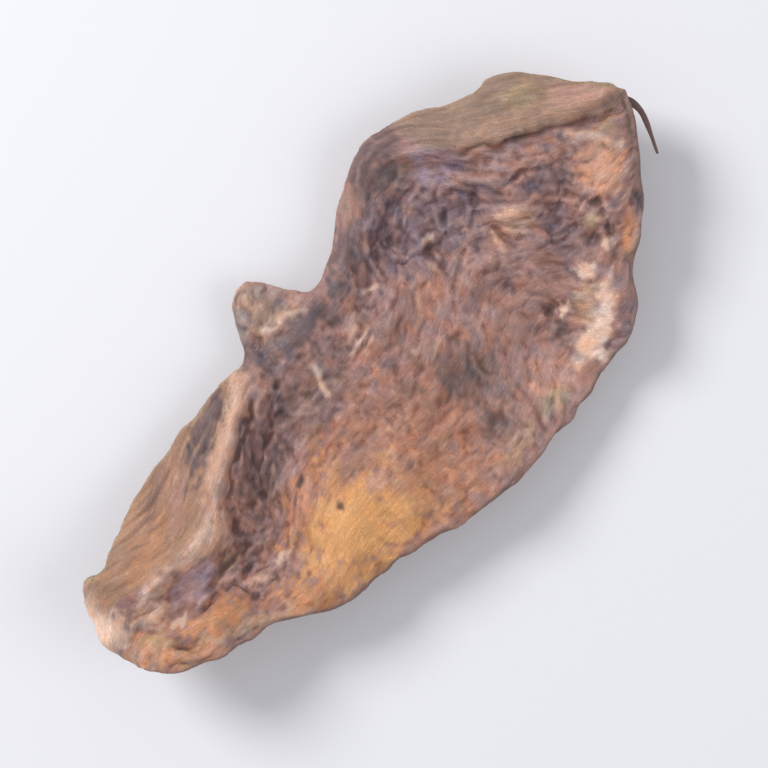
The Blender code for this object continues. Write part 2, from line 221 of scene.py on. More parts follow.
# Coloured regions of the upper face: x, y, half-length, half-width, turn, colour, strength. The
# regions in the painted shade colour are painted shade, darkening places beside the stub, beside
# folds and along the upper rim where shade falls.
REGIONS = (
    (-5.0, -9.5, 11.0, 6.0, 5.0, COPPER, 1.0),
    (-1.2, -6.5, 8.0, 4.6, 10.0, COPPER, 0.9),
    (-9.4, -7.0, 8.2, 5.8, 14.0, COPPER, 0.95),
    (11.0, -11.0, 5.0, 2.2, 12.0, ROSE, 0.8),
    (11.5, 6.0, 7.0, 3.8, -20.0, MAUVE, 0.95),
    (12.4, 10.8, 3.2, 1.5, -10.0, SLATE, 0.8),
    (16.3, 8.2, 2.4, 1.8, -20.0, LAVENDER, 0.85),
    (7.3, 1.0, 2.8, 1.3, 10.0, COPPER, 0.7),
    (1.0, 1.0, 3.2, 1.4, 15.0, COPPER, 0.3),
    (12.0, -4.8, 3.8, 2.2, 0.0, ROSE, 0.5),
    (-5.6, -2.2, 3.6, 1.4, 25.0, RUST, 0.55),
    (-4.8, 2.2, 3.8, 2.3, 20.0, EARTH, 0.95),
    (-7.8, -0.9, 1.6, 0.6, 35.0, AMBER, 0.5),
    (-4.6, 1.5, 2.6, 1.4, 20.0, PAINTED_SHADE, 0.36),
    (3.0, 1.8, 2.6, 2.0, 15.0, UMBER, 0.25),
    # painted shade along the upper rim
    (5.2, 8.8, 3.2, 1.2, 32.0, PAINTED_SHADE, 0.75),
    (12.6, 13.1, 3.4, 1.6, 0.0, PAINTED_SHADE, 0.8),
    (15.8, 10.2, 1.9, 0.9, -45.0, LILAC, 0.6),
    # painted shade between the stub and the rolled edge
    (-2.2, 6.6, 5.2, 1.4, 2.0, PAINTED_SHADE, 0.9),
    (-6.1, 8.0, 1.4, 1.6, 0.0, PAINTED_SHADE, 0.85),
    (-3.3, 11.0, 3.2, 2.9, 0.0, FAWN, 1.0),
    (-1.2, 10.6, 0.8, 2.4, 30.0, ROSE, 0.4),
    (8.0, 11.0, 1.7, 0.7, 45.0, TAN, 0.35),
    (-11.6, 1.6, 5.6, 2.4, 34.0, UMBER, 0.95),
    (-16.8, -2.6, 2.6, 1.9, 30.0, UMBER, 0.7),
    (-16.0, 0.0, 3.2, 0.8, 52.0, ROSE, 0.55),
    (-10.4, -8.0, 6.0, 4.4, 14.0, GOLD, 1.0),
    (-17.8, -9.6, 4.2, 1.7, -22.0, AMBER, 0.95),
    (-3.8, -11.0, 4.0, 2.6, 0.0, GOLD, 0.42),
    (-6.4, -4.4, 2.8, 1.2, 20.0, COPPER, 0.85),
    (-9.2, -4.8, 1.8, 0.9, 20.0, AMBER, 0.5),
    (-1.6, -11.0, 2.4, 1.9, 0.0, COPPER, 0.75),
    (-6.4, -4.4, 2.2, 1.0, 20.0, EARTH, 0.5),
    (-4.6, -8.0, 1.9, 1.6, 0.0, COPPER, 0.65),
    (-7.4, -11.2, 2.0, 1.2, 0.0, GOLD, 0.7),
    (-14.2, -11.0, 1.9, 1.0, -10.0, GOLD, 0.65),
    (0.0, -3.0, 2.0, 1.3, 10.0, EARTH, 0.5),
    (8.0, -3.0, 1.8, 1.3, 0.0, ROSE, 0.65),
    (-2.0, 4.0, 2.2, 1.0, 10.0, PAINTED_SHADE, 0.35),
    (6.0, 3.0, 1.8, 1.3, 0.0, UMBER, 0.35),
    (-12.4, -3.9, 2.6, 1.2, 25.0, RUST, 0.8),
    (-6.4, -7.0, 1.2, 0.9, 0.0, ROSE, 0.7),
    (-17.4, -6.3, 2.0, 0.9, -15.0, BROWN, 0.7),
    (-28.6, -4.6, 4.0, 1.7, -42.0, AMBER, 0.9),
    (-19.8, -0.7, 1.9, 1.1, 15.0, SAND, 0.95),
    (-24.0, -5.8, 2.7, 1.5, -8.0, AMBER, 1.0),
    (-22.0, -8.2, 3.2, 0.8, -22.0, TAN, 0.8),
    (-23.7, -2.2, 2.5, 1.15, 5.0, LILAC, 0.95),
    (-31.2, 0.4, 1.7, 3.4, 8.0, CREAM, 1.0),
    (-30.2, -2.6, 1.9, 1.3, -50.0, ORANGE, 0.95),
    (-28.9, -3.3, 1.3, 0.6, -40.0, OLIVE, 0.6),
    (-28.4, -1.4, 1.7, 0.8, -35.0, SAND, 0.9),
    (-26.2, 0.3, 1.0, 0.6, 0.0, SAND, 0.7),
    (-20.6, -0.1, 1.4, 0.7, 15.0, CREAM, 0.8),
    (-22.2, -0.5, 1.2, 0.6, 5.0, CREAM, 0.6),
    (-27.5, -1.6, 1.4, 0.9, -25.0, SAND, 0.95),
    (-28.2, -2.1, 0.7, 0.6, -30.0, CREAM, 0.5),
    (-26.0, -0.6, 0.9, 0.5, 0.0, TAN, 0.85),
    (-30.9, -0.8, 0.9, 1.0, 0.0, CREAM, 0.8),
    (-30.6, 2.3, 0.8, 0.8, 0.0, TAN, 0.6),
    (-26.2, -7.4, 1.6, 0.6, -25.0, ORANGE, 0.6),
    (-20.0, -8.4, 1.2, 0.7, -20.0, COPPER, 0.85),
    (5.6, -6.6, 2.6, 3.4, 20.0, SLATE, 0.8),
    (4.2, -11.0, 1.5, 1.2, 10.0, SLATE, 0.7),
    (4.5, -13.3, 2.8, 0.8, 8.0, TAN, 0.7),
    (9.2, -12.9, 1.5, 0.9, 0.0, OLIVE, 0.6),
    (21.0, 1.3, 2.0, 0.9, -20.0, MAUVE, 0.85),
    (19.7, -3.0, 1.5, 3.0, -12.0, MAUVE, 0.8),
    (25.7, -1.6, 2.6, 2.1, 50.0, ORANGE, 0.88),
    (28.3, 0.3, 1.9, 0.8, 50.0, TAN, 0.8),
    (17.2, 0.5, 1.7, 1.1, -30.0, SAND, 1.0),
    (15.2, 0.0, 0.45, 0.9, -20.0, SAND, 0.8),
    (23.4, -7.2, 1.9, 0.8, 42.0, AMBER, 0.8),
    (20.7, -8.7, 1.6, 0.9, 40.0, UMBER, 0.55),
    (16.8, -8.9, 2.0, 1.0, 45.0, TAN, 0.85),
    (18.5, -6.9, 0.9, 0.8, 0.0, CREAM, 0.75),
    (15.1, -11.6, 2.2, 1.3, 30.0, CREAM, 0.92),
    (18.0, -10.0, 2.2, 0.8, 41.0, CREAM, 0.72),
    (18.5, -12.3, 2.8, 0.9, 30.0, MAUVE, 0.7),
    (26.0, -6.0, 1.0, 0.6, 50.0, MAUVE, 0.9),
    (13.2, -9.8, 1.2, 0.9, 0.0, UMBER, 0.7),
    (18.6, 5.6, 1.6, 0.8, -25.0, ROSE, 0.3),
    (22.0, 0.5, 1.6, 0.8, -20.0, PAINTED_SHADE, 0.55),
)
# Coloured regions of the lower face, as above.
UNDER_REGIONS = (
    (-14.0, -6.0, 13.0, 4.0, 5.0, AMBER, 0.5),
    (12.0, 5.0, 9.0, 4.0, -20.0, MAUVE, 0.6),
    (3.0, -8.0, 8.0, 4.5, 0.0, COPPER, 0.6),
    (-21.0, 1.0, 8.0, 3.0, 20.0, TAN, 0.5),
    (22.0, -2.0, 6.0, 4.5, 40.0, ROSE, 0.6),
    (-3.0, 3.5, 7.0, 3.0, 0.0, EARTH, 0.6),
)
# Coloured regions of the pore layer, as above. The darkest one is painted shade on the pore layer
# behind the rolled edge.
PORE_REGIONS = (
    (28.6, 4.0, 2.8, 1.5, -45.0, ROSE, 0.9),
    (25.0, 7.4, 2.2, 1.2, -30.0, OLIVE, 0.6),
    (-13.2, 6.8, 5.2, 1.25, 30.0, PAINTED_SHADE, 0.95),
    (-24.5, 2.4, 3.6, 1.2, 25.0, AMBER, 0.45),
    (-19.6, 4.0, 3.4, 0.6, 42.0, ROSE, 0.55),
    (-20.6, 5.6, 3.4, 0.5, 36.0, EARTH, 0.5),
)
# Small spots of the upper face, as above. The darkest spots are painted shade in pits, crevices and
# crease lines, and the umber spots on the creases near the tip are painted shade in those creases.
SPOTS = (
    (-12.8, -0.7, 1.8, 0.6, 42.0, PAINTED_CREVICE_SHADE, 0.5),
    (-10.2, -6.2, 0.35, 0.35, 0.0, PAINTED_CREVICE_SHADE, 0.75),
    (-11.2, -2.5, 0.6, 0.35, 15.0, PAINTED_CREVICE_SHADE, 0.6),
    (-6.8, 4.8, 0.4, 0.4, 0.0, PAINTED_CREVICE_SHADE, 0.6),
    (-5.2, 1.0, 0.5, 0.4, 0.0, PAINTED_CREVICE_SHADE, 0.35),
    (-20.5, -2.8, 0.8, 0.55, 20.0, OLIVE, 0.6),
    (-19.7, -4.5, 0.5, 0.4, 0.0, PAINTED_CREVICE_SHADE, 0.6),
    (-20.6, -6.5, 0.5, 0.4, 0.0, PAINTED_CREVICE_SHADE, 0.7),
    (-18.4, -6.6, 0.4, 0.35, 0.0, PAINTED_CREVICE_SHADE, 0.6),
    (-27.3, -5.0, 0.8, 0.45, -50.0, UMBER, 0.8),
    (-24.8, -3.9, 0.6, 0.3, 0.0, UMBER, 0.6),
    (-23.0, -3.9, 0.6, 0.3, 0.0, PAINTED_CREVICE_SHADE, 0.45),
    (-20.6, 0.0, 1.4, 0.5, 15.0, CREAM, 0.65),
    (-30.9, -0.8, 0.8, 0.9, 0.0, CREAM, 0.7),
    (-27.5, -1.6, 0.9, 0.6, -25.0, CREAM, 0.35),
    (-20.0, -8.4, 1.1, 0.5, -20.0, UMBER, 0.5),
    (-28.6, 0.3, 0.6, 0.4, 0.0, BROWN, 0.6),
    (-16.8, -5.9, 0.6, 0.4, 0.0, CREAM, 0.75),
    (-19.5, -5.9, 0.9, 0.35, -25.0, SAND, 0.7),
    (-26.6, -3.6, 0.7, 0.35, -15.0, CREAM, 0.6),
    (14.3, -7.2, 0.5, 0.4, 40.0, PAINTED_CREVICE_SHADE, 0.7),
    (14.3, -8.6, 0.5, 0.35, 0.0, PAINTED_CREVICE_SHADE, 0.45),
    (13.5, -9.3, 0.9, 0.7, 0.0, PAINTED_CREVICE_SHADE, 0.35),
    (15.2, -8.0, 0.5, 0.5, 0.0, CREAM, 1.0),
    (21.9, -4.2, 0.6, 0.5, 0.0, OLIVE, 0.9),
    (20.9, -5.3, 0.6, 0.5, 0.0, PAINTED_CREVICE_SHADE, 0.6),
    (21.6, -6.4, 0.5, 0.5, 0.0, CREAM, 0.8),
    (22.6, -5.9, 0.6, 0.4, 40.0, PAINTED_CREVICE_SHADE, 0.7),
    (26.0, -5.9, 0.8, 0.5, 50.0, PAINTED_CREVICE_SHADE, 0.6),
    (23.3, -3.3, 0.5, 0.4, 0.0, PAINTED_CREVICE_SHADE, 0.6),
    (11.2, 4.4, 0.45, 0.4, 0.0, CREAM, 0.5),
    (9.8, 2.6, 0.5, 0.35, 0.0, CREAM, 0.35),
    (3.6, -1.5, 0.5, 0.3, 0.0, CREAM, 0.35),
    (5.7, -2.4, 0.7, 0.3, 0.0, CREAM, 0.3),
    (3.2, -11.1, 0.5, 0.8, 0.0, PAINTED_CREVICE_SHADE, 0.4),
    (5.4, -11.1, 0.5, 0.8, 0.0, PAINTED_CREVICE_SHADE, 0.4),
    (8.7, -12.8, 0.5, 0.4, 0.0, PAINTED_CREVICE_SHADE, 0.35),
    (25.2, 2.6, 0.5, 0.35, -45.0, MAUVE, 0.7),
    (22.7, 5.2, 0.7, 0.35, -28.0, PAINTED_CREVICE_SHADE, 0.6),
)
# Light and dark streaks: points, half-width, colour, strength. The pale streaks along the crests of
# the raised folds are painted highlight on those crests, and partly the paler colour of dry crests.
STREAKS_AND_CREST_LIGHTS = (
    (
        ((-21.2, -0.5), (-18.8, 0.2), (-16.6, 2.6), (-13.8, 4.4), (-10.6, 6.0), (-8.8, 7.6)),
        0.85, SAND, 0.9,
    ),
    (((-21.2, -0.6), (-19.6, -0.4), (-18.2, 0.6)), 0.55, CREAM, 0.6),
    (((-28.0, -0.4), (-26.2, 0.2), (-22.6, -0.3), (-21.0, -0.4)), 0.5, CREAM, 0.5),
    (((-4.4, 8.8), (-2.6, 8.6), (-0.9, 8.1)), 0.5, CREAM, 0.5),
    (((-3.3, 12.6), (-3.5, 11.0), (-3.2, 9.4)), 0.7, TAN, 0.6),
    (((19.0, 8.3), (22.4, 6.6), (25.4, 5.0), (28.2, 3.3)), 1.1, SAND, 0.45),
    (((-3.4, 3.7), (-3.9, 2.5), (-4.3, 1.2)), 0.28, CREAM, 0.65),
    (((25.2, 2.5), (26.6, 1.3), (27.5, 0.0), (28.1, -1.4)), 0.4, CREAM, 0.42),
    # a dark line along the edge at the far corner: painted shade, and partly the dark skin there
    (((31.3, 1.4), (30.3, -0.2), (29.1, -1.9), (27.7, -3.5)), 0.3, PAINTED_CREVICE_SHADE, 0.85),
    (((0.2, 3.2), (2.4, 3.9)), 0.24, CREAM, 0.5),
    (((-0.2, 2.1), (2.2, 2.85)), 0.24, CREAM, 0.5),
    (((4.0, 5.2), (5.2, 4.8)), 0.22, CREAM, 0.5),
)
# How ragged the borders of regions are: wavelength, size.
RAGGED_BORDERS = ((2.2, 0.16), (0.9, 0.14))
# How much the tone changes over broad and small cells and over waves, and the share of red,
# green and blue that a warmer patch gains.
BROAD_TONE, SMALL_TONE, WAVE_TONE = 0.18, 0.14, 0.07
WARMER = (0.06, -0.01, -0.08)
# How much the tone of the pore layer changes over its fine and broad streaks.
PORE_STREAK_TONE, PORE_BROAD_TONE = 0.09, 0.06
# The golden part, where the tones change least: x, y, half-length, half-width, turn.
EVEN_TONED = (-10.4, -8.4, 7.0, 4.8, 14.0)
# Fine and broad relief: rounds of averaging, then the depth of a hollow that is darkened in full and
# its share, and the height of a proud part that is lightened in full and its share. The darkening is
# painted shade and the lightening painted highlight, together with the darker creases and paler
# crests of dried flesh.
RELIEF_SHADES = ((4, 0.041, 0.62, 0.045, 0.34), (40, 0.35, 0.22, 0.4, 0.12))
# What is left of each colour in the deepest hollow, under painted shade.
DEEP_SHADE = (0.42, 0.33, 0.33)
# How far a proud part turns to cream as painted highlight, the most that counts, and how much less
# so on the skin.
PROUD_HIGHLIGHT, MOST_PROUD, SKIN_LESS_PROUD = 0.4, 0.85, 0.6
# Limits of every colour.
DARKEST, LIGHTEST = 0.01, 0.9

# The sliver of skin peeled off at the far corner: its path in plan with its rise above the middle
# of the slice at its root, half-width, half-thickness, the square of what is left of both at its
# tip, steps along it and round it, colour.
PEEL = (
    (30.4, 1.3, 0.1), (31.3, 0.7, 0.2), (31.5, -0.5, 0.0), (31.1, -1.9, -0.5), (30.1, -4.2, -1.3),
)
PEEL_HALF_WIDTH, PEEL_HALF_THICKNESS, PEEL_TIP = 0.42, 0.1, 0.06
PEEL_STEPS, PEEL_SIDES = 25, 12
PEEL_COLOUR = (0.14, 0.09, 0.085)

# The studio, in metres: the floor, each lamp's place, size and watts, the light from all round,
# and the camera's place and lens.
FLOOR_SIZE, FLOOR_COLOUR, FLOOR_ROUGHNESS = 3.0, (0.8, 0.8, 0.83), 0.7
LAMPS = {
    "key_light": ((-0.08, 0.36, 0.3), 0.2, 1.7),
    "fill_light": ((0.2, -0.34, 0.36), 0.4, 0.7),
}
ROOM_COLOUR, ROOM_STRENGTH = (0.93, 0.94, 1.0, 1.0), 0.5
CAMERA_PLACE, CAMERA_LENS, CLIP_START = (0.0, -0.001, 0.25), 135.0, 0.01


def smooth_line(points, x):
    """The y of a smooth line through points at each x: cubic pieces with averaged slopes."""
    px, py = np.array(points, float).T
    slope = np.gradient(py, px)
    i = np.clip(np.searchsorted(px, x) - 1, 0, len(px) - 2)
    span = px[i + 1] - px[i]
    t = np.clip((x - px[i]) / span, 0.0, 1.0)
    a, b = slope[i] * span, slope[i + 1] * span
    return (
        py[i] * (1 + 2 * t) * (1 - t) ** 2
        + a * t * (1 - t) ** 2
        + py[i + 1] * t**2 * (3 - 2 * t)
        + b * t**2 * (t - 1)
    )


def ease(t):
    """From 0 to 1 with a gentle start and end, as t goes from 0 to 1."""
    t = np.clip(t, 0.0, 1.0)
    return t * t * (3 - 2 * t)


def oval(x, y, cx, cy, long_half, short_half, turn):
    """How far each plan point is from an oval's centre, where 1 is its rim."""
    c, s = math.cos(math.radians(turn)), math.sin(math.radians(turn))
    u = ((x - cx) * c + (y - cy) * s) / long_half
    v = (-(x - cx) * s + (y - cy) * c) / short_half
    return np.hypot(u, v)


def distance_to(line, x, y):
    """How far each plan point is from a chain of straight pieces."""
    nearest = np.full(np.shape(x), np.inf)
    for (ax, ay), (bx, by) in zip(line, line[1:]):
        dx, dy = bx - ax, by - ay
        t = np.clip(((x - ax) * dx + (y - ay) * dy) / (dx * dx + dy * dy), 0.0, 1.0)
        nearest = np.minimum(nearest, np.hypot(x - ax - t * dx, y - ay - t * dy))
    return nearest


def tapered(line, x, y, left_at_end=0.35, fade=1.4):
    """1 along a chain of straight pieces, falling off towards its two ends."""
    (ax, ay), (bx, by) = line[0], line[-1]
    from_end = np.minimum(np.hypot(x - ax, y - ay), np.hypot(x - bx, y - by))
    return ease(left_at_end + from_end / fade)


def rounded(distance, half_width):
    """A smooth ridge's height, from 1 on its line to nothing well beyond its half-width."""
    return np.exp(-((distance / half_width) ** 2))


class Waves:
    """Smooth random waves near one wavelength, drawn out along the slice, read at plan points."""

    def __init__(self, seed, wavelength, stretch=1.0, spread=0.4):
        white = np.random.default_rng(seed).standard_normal((FIELD_ROWS, FIELD_COLUMNS))
        along = np.fft.fftfreq(FIELD_COLUMNS, FIELD_STEP) * stretch
        across = np.fft.fftfreq(FIELD_ROWS, FIELD_STEP)[:, None]
        pitch = np.hypot(along, across) * wavelength
        kept = np.exp(-(((pitch - 1) / spread) ** 2))
        field = np.fft.ifft2(np.fft.fft2(white) * kept).real
        self.field = field / field.std()

    def __call__(self, u, v):
        column, row = u / FIELD_STEP, v / FIELD_STEP
        c, r = np.floor(column).astype(int), np.floor(row).astype(int)
        fc, fr = column - c, row - r
        c0, c1 = c % FIELD_COLUMNS, (c + 1) % FIELD_COLUMNS
        r0, r1 = r % FIELD_ROWS, (r + 1) % FIELD_ROWS
        f = self.field
        near = f[r0, c0] * (1 - fc) + f[r0, c1] * fc
        far = f[r1, c0] * (1 - fc) + f[r1, c1] * fc
        return near * (1 - fr) + far * fr


class Cells:
    """Irregular cells over the plan: how far each point is from a border, and each cell's tone."""

    TABLE = 64

    def __init__(self, seed, size, stretch=1.0):
        random = np.random.default_rng(seed)
        self.shift = random.random((self.TABLE, self.TABLE, 2))
        self.tone = random.random((self.TABLE, self.TABLE))
        self.size, self.stretch = size, stretch

    def __call__(self, u, v):
        u, v = u / (self.size * self.stretch), v / self.size
        column, row = np.floor(u).astype(int), np.floor(v).astype(int)
        first = np.full(u.shape, np.inf)
        second = np.full(u.shape, np.inf)
        tone = np.zeros(u.shape)
        for i in (-1, 0, 1):
            for j in (-1, 0, 1):
                cell = (row + j) % self.TABLE, (column + i) % self.TABLE
                centre = self.shift[cell]
                away = np.hypot(column + i + centre[..., 0] - u, row + j + centre[..., 1] - v)
                nearer = away < first
                second = np.where(nearer, first, np.minimum(second, away))
                tone = np.where(nearer, self.tone[cell], tone)
                first = np.where(nearer, away, first)
        return (second - first) * self.size / 2, tone


class Surface:
    """A mesh's points, normals and neighbours as arrays, in millimetres."""

    def __init__(self, mesh):
        self.mesh = mesh
        self.count = len(mesh.vertices)
        ends = np.empty(len(mesh.edges) * 2, np.int32)
        mesh.edges.foreach_get("vertices", ends)
        self.ends = ends.reshape(-1, 2)
        self.neighbours = np.bincount(ends, minlength=self.count)
        self.read()

    def read(self):
        points = np.empty(self.count * 3, np.float32)
        self.mesh.vertices.foreach_get("co", points)
        self.points = points.reshape(-1, 3).astype(float)
        normals = np.empty(self.count * 3, np.float32)
        self.mesh.vertex_normals.foreach_get("vector", normals)
        self.normals = normals.reshape(-1, 3).astype(float)

    def move_to(self, points):
        self.mesh.vertices.foreach_set("co", points.astype(np.float32).ravel())
        self.mesh.update()
        self.read()

    def raise_by(self, height):
        self.move_to(self.points + self.normals * height[:, None])

    def averaged(self, values, rounds):
        """Each point's values after sharing them with its neighbours so many times."""
        a, b = self.ends.T
        columns = values.reshape(self.count, -1).astype(float)
        for _ in range(rounds):
            total = np.stack(
                [
                    np.bincount(a, c[b], self.count) + np.bincount(b, c[a], self.count)
                    for c in columns.T
                ],
                axis=1,
            )
            columns = (columns + total / self.neighbours[:, None]) / 2
        return columns.reshape(values.shape)

    def hollowness(self, rounds):
        """How far each point lies under its surroundings, in millimetres."""
        return np.sum((self.averaged(self.points, rounds) - self.points) * self.normals, axis=1)


class Plan:
    """Where each point of the surface is on the slice, and how far it counts as each layer.

    low is the height of the skin's edge in the plan. inward is the distance from the pores towards
    the skin, across the same fitted to one width of flesh, and round_edge the same carried on down
    the side wall. up and wall say how far a point faces upwards or sideways, and band, skin and
    flesh how far it lies in the pore layer, the cap's skin or the cut flesh.
    """

    def __init__(self, surface):
        points, normals = surface.points, surface.normals
        self.x = points[:, 0] + PLAN_MIDDLE[0]
        self.y = points[:, 1] + PLAN_MIDDLE[1]
        self.z = points[:, 2]
        self.low = smooth_line(SKIN_EDGE, self.x)
        high = smooth_line(PORE_EDGE, self.x)
        pores = np.clip(smooth_line(PORE_LINE, self.x), self.low, high)
        self.inward = pores - self.y
        width = np.maximum(pores - self.low, LEAST_FLOW_WIDTH)
        self.across = self.inward * np.sqrt(FLOW_WIDTH / width)
        self.round_edge = self.inward + self.z
        self.up = ease(normals[:, 2] * 1.5 + 0.5)
        self.wall = ease((0.85 - np.abs(normals[:, 2])) / 0.45)
        in_tip = ease((TIP_X + 3.0 - self.x) / 2.0)
        in_stub = ease(STUB_HALF_WIDTH + 0.5 - np.abs(self.x - STUB_X))
        not_under = ease(normals[:, 2] * 2.2 + 1.4)
        self.band = ease(0.5 - self.inward / 0.7) * (1 - in_tip) * (1 - in_stub) * not_under
        near_skin = ease((self.low + SKIN_WIDTH - self.y) / 1.5) * ease((self.x - TIP_X - 1.0) / 3.0)
        near_end = ease((self.x - CORNER_SKIN_X) / 3.0) * ease((3.0 - self.y) / 3.0)
        self.skin = self.wall * np.maximum(near_skin, near_end) * (1 - self.band)
        self.flesh = (1 - self.band) * (1 - self.skin)


def fine_copy(node):
    """A finely and evenly meshed copy of a solid, in millimetres."""
    rough = bpy.data.objects.new("rough_copy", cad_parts[node].data.copy())
    rough.data.transform(Matrix.Scale(1 / MM, 4))
    bpy.context.scene.collection.objects.link(rough)
    remesh = rough.modifiers.new("even_mesh", "REMESH")
    remesh.mode = "VOXEL"
    remesh.voxel_size = VOXEL
    graph = bpy.context.evaluated_depsgraph_get()
    mesh = bpy.data.meshes.new_from_object(rough.evaluated_get(graph))
    bpy.data.objects.remove(rough)
    mesh.name = "dried_porcini"
    return mesh


def drift(u, v, seed):
    """Flow coordinates that wander, so that no wrinkle runs straight."""
    slow, quick = Waves(seed, 11.0), Waves(seed + 1, 3.0, 1.0, 0.8)
    along = u + 0.4 * slow(u + 31, v) + 0.12 * quick(u + 17, v)
    return along, v + 0.3 * slow(u, v) + 0.1 * quick(u, v)


def furrowed(f):
    """Thin furrows where smooth waves cross zero."""
    return -np.exp(-((f / FURROW_SHARPNESS) ** 2))


def crumple(plan):
    """How crumpled the flesh is at each point."""
    amount = np.full(plan.x.shape, CRUMPLED_EVERYWHERE)
    for *place, change in CRUMPLED:
        amount += change * np.exp(-oval(plan.x, plan.y, *place) ** 2)
    return np.clip(amount, LEAST_CRUMPLED, MOST_CRUMPLED)


def fold_heights(plan, seed):
    """Swells, furrows and wrinkle cells added up; furrows and cells come and go in patches."""
    u, v = drift(plan.x, plan.across, seed)
    heights = np.zeros(plan.x.shape)
    for i, (wavelength, stretch, tall) in enumerate(SWELLS):
        heights += tall * Waves(seed + 10 + i, wavelength, stretch, 0.8)(u, v)
    for i, (wavelength, stretch, deep) in enumerate(FURROWS):
        patchy = ease(0.5 + 0.45 * Waves(seed + 30 + i, 5.0)(plan.x, plan.y))
        heights += deep * patchy * furrowed(Waves(seed + 20 + i, wavelength, stretch, 0.7)(u, v))
    for i, (size, stretch, deep, half_width) in enumerate(WRINKLE_CELLS):
        patchy = ease(0.45 + 0.5 * Waves(seed + 50 + i, 6.0)(plan.x, plan.y))
        border, tone = Cells(seed + 40 + i, size, stretch)(u, v)
        heights += deep * patchy * (0.5 * tone - rounded(border, half_width))
    return heights


def wrinkle_flesh(surface):
    """The cut flesh, crumpled above and flatter below, calm on the walls and by the pores."""
    plan = Plan(surface)
    above = fold_heights(plan, UPPER_SEED) * crumple(plan)
    below = fold_heights(plan, LOWER_SEED) * LOWER_SHARE
    by_pores = rounded(plan.inward, PORE_LINE_REACH)
    calm = (1 - WALL_CALM * plan.wall) * (1 - PORE_LINE_CALM * by_pores)
    heights = (above * plan.up + below * (1 - plan.up)) * plan.flesh * calm
    surface.raise_by(AFTER_AVERAGING * surface.averaged(heights, 1))


def wrinkle_pores(surface):
    """The dried pore layer: long shallow streaks above, and lumps on the walls."""
    plan = Plan(surface)
    u, v = drift(plan.x, plan.round_edge, PORE_SEED)
    streaks = Waves(PORE_SEED + 10, 1.4, 6.0, 0.7)(u, v) * (1 - plan.wall)
    lumps = Waves(PORE_SEED + 11, 3.0, 1.5, 0.8)(u, v)
    surface.raise_by((STREAK_HEIGHT * streaks + LUMP_HEIGHT * lumps * plan.wall) * plan.band)


def wrinkle_skin(surface):
    """The cap's skin, puckered where the flesh under it shrank."""
    plan = Plan(surface)
    pucker = Waves(SKIN_SEED, 4.0, 1.0, 0.8)(plan.x, plan.z)
    fine = furrowed(Waves(SKIN_SEED + 1, 2.4, 1.0)(plan.x, plan.z))
    lip = rounded(plan.y - plan.low - LIP_INSET, LIP_HALF_WIDTH) * plan.up
    curl = 0.5 + 0.5 * Waves(SKIN_SEED + 2, 5.0)(plan.x, plan.y)
    heights = (PUCKER_HEIGHT * pucker + PUCKER_FURROW * fine) * plan.skin
    surface.raise_by(heights + LIP_HEIGHT * lip * np.clip(curl, 0.0, 1.3))


def carve_details(surface):
    """Single creases, raised folds, pits and bumps of the upper face."""
    plan = Plan(surface)
    sway = Waves(DETAIL_SEED, 2.4)
    x = plan.x + SWAY * sway(plan.x, plan.y)
    y = plan.y + SWAY * sway(plan.x + 20, plan.y + 20)
    depth = 0.85 + 0.15 * Waves(DETAIL_SEED + 1, 3.0)(plan.x, plan.y)
    heights = np.zeros(x.shape)
    for line, deep, half_width in CREASES:
        shape = rounded(distance_to(line, x, y), half_width)
        heights -= deep * depth * shape * tapered(line, x, y)
    for line, tall, half_width in THIN_RIDGES:
        shape = rounded(distance_to(line, x, y), half_width)
        heights += tall * depth * shape * tapered(line, x, y)
    for *place, tall in DETAILS:
        heights += tall * np.exp(-oval(x, y, *place) ** 2)
    surface.raise_by(surface.averaged(heights, 1) * plan.up * ease(surface.normals[:, 2] * 2))


def limited(waves, most=2.0):
    """Waves without their few highest and lowest parts."""
    return np.clip(waves, -most, most)


def blended(base, colour, amount):
    """Each point's colour moved towards one colour, or towards its own one in a list."""
    return base + (np.array(colour) - base) * amount[:, None]


def stained(plan, tint, regions, facing):
    """Lays coloured regions over the points that face one way, with ragged borders."""
    ragged = np.zeros(plan.x.shape)
    for i, (wavelength, size) in enumerate(RAGGED_BORDERS):
        ragged += size * Waves(COLOUR_SEED + i, wavelength)(plan.x, plan.across)
    for *place, colour, strength in regions:
        reach = oval(plan.x, plan.y, *place) + ragged
        tint = blended(tint, colour, strength * ease((1.35 - reach) / 0.8) * facing)
    return tint


def streaked_and_lit(plan, tint):
    """Lays the light and dark streaks over the upper face: pale crests that are partly painted
    highlight, and painted shade.
    """
    ragged = 0.2 * Waves(COLOUR_SEED + 2, 1.2)(plan.x, plan.y)
    for line, half_width, colour, strength in STREAKS_AND_CREST_LIGHTS:
        reach = distance_to(line, plan.x, plan.y) / half_width + ragged
        tint = blended(tint, colour, strength * np.exp(-np.maximum(reach, 0.0) ** 2) * plan.up)
    return tint


def spotted(plan, tint):
    """Lays the small spots over the upper face."""
    ragged = 0.3 * Waves(COLOUR_SEED + 3, 0.8)(plan.x, plan.y)
    for *place, colour, strength in SPOTS:
        reach = oval(plan.x, plan.y, *place) + ragged
        tint = blended(tint, colour, strength * ease((1.5 - reach) / 1.0) * plan.up)
    return tint


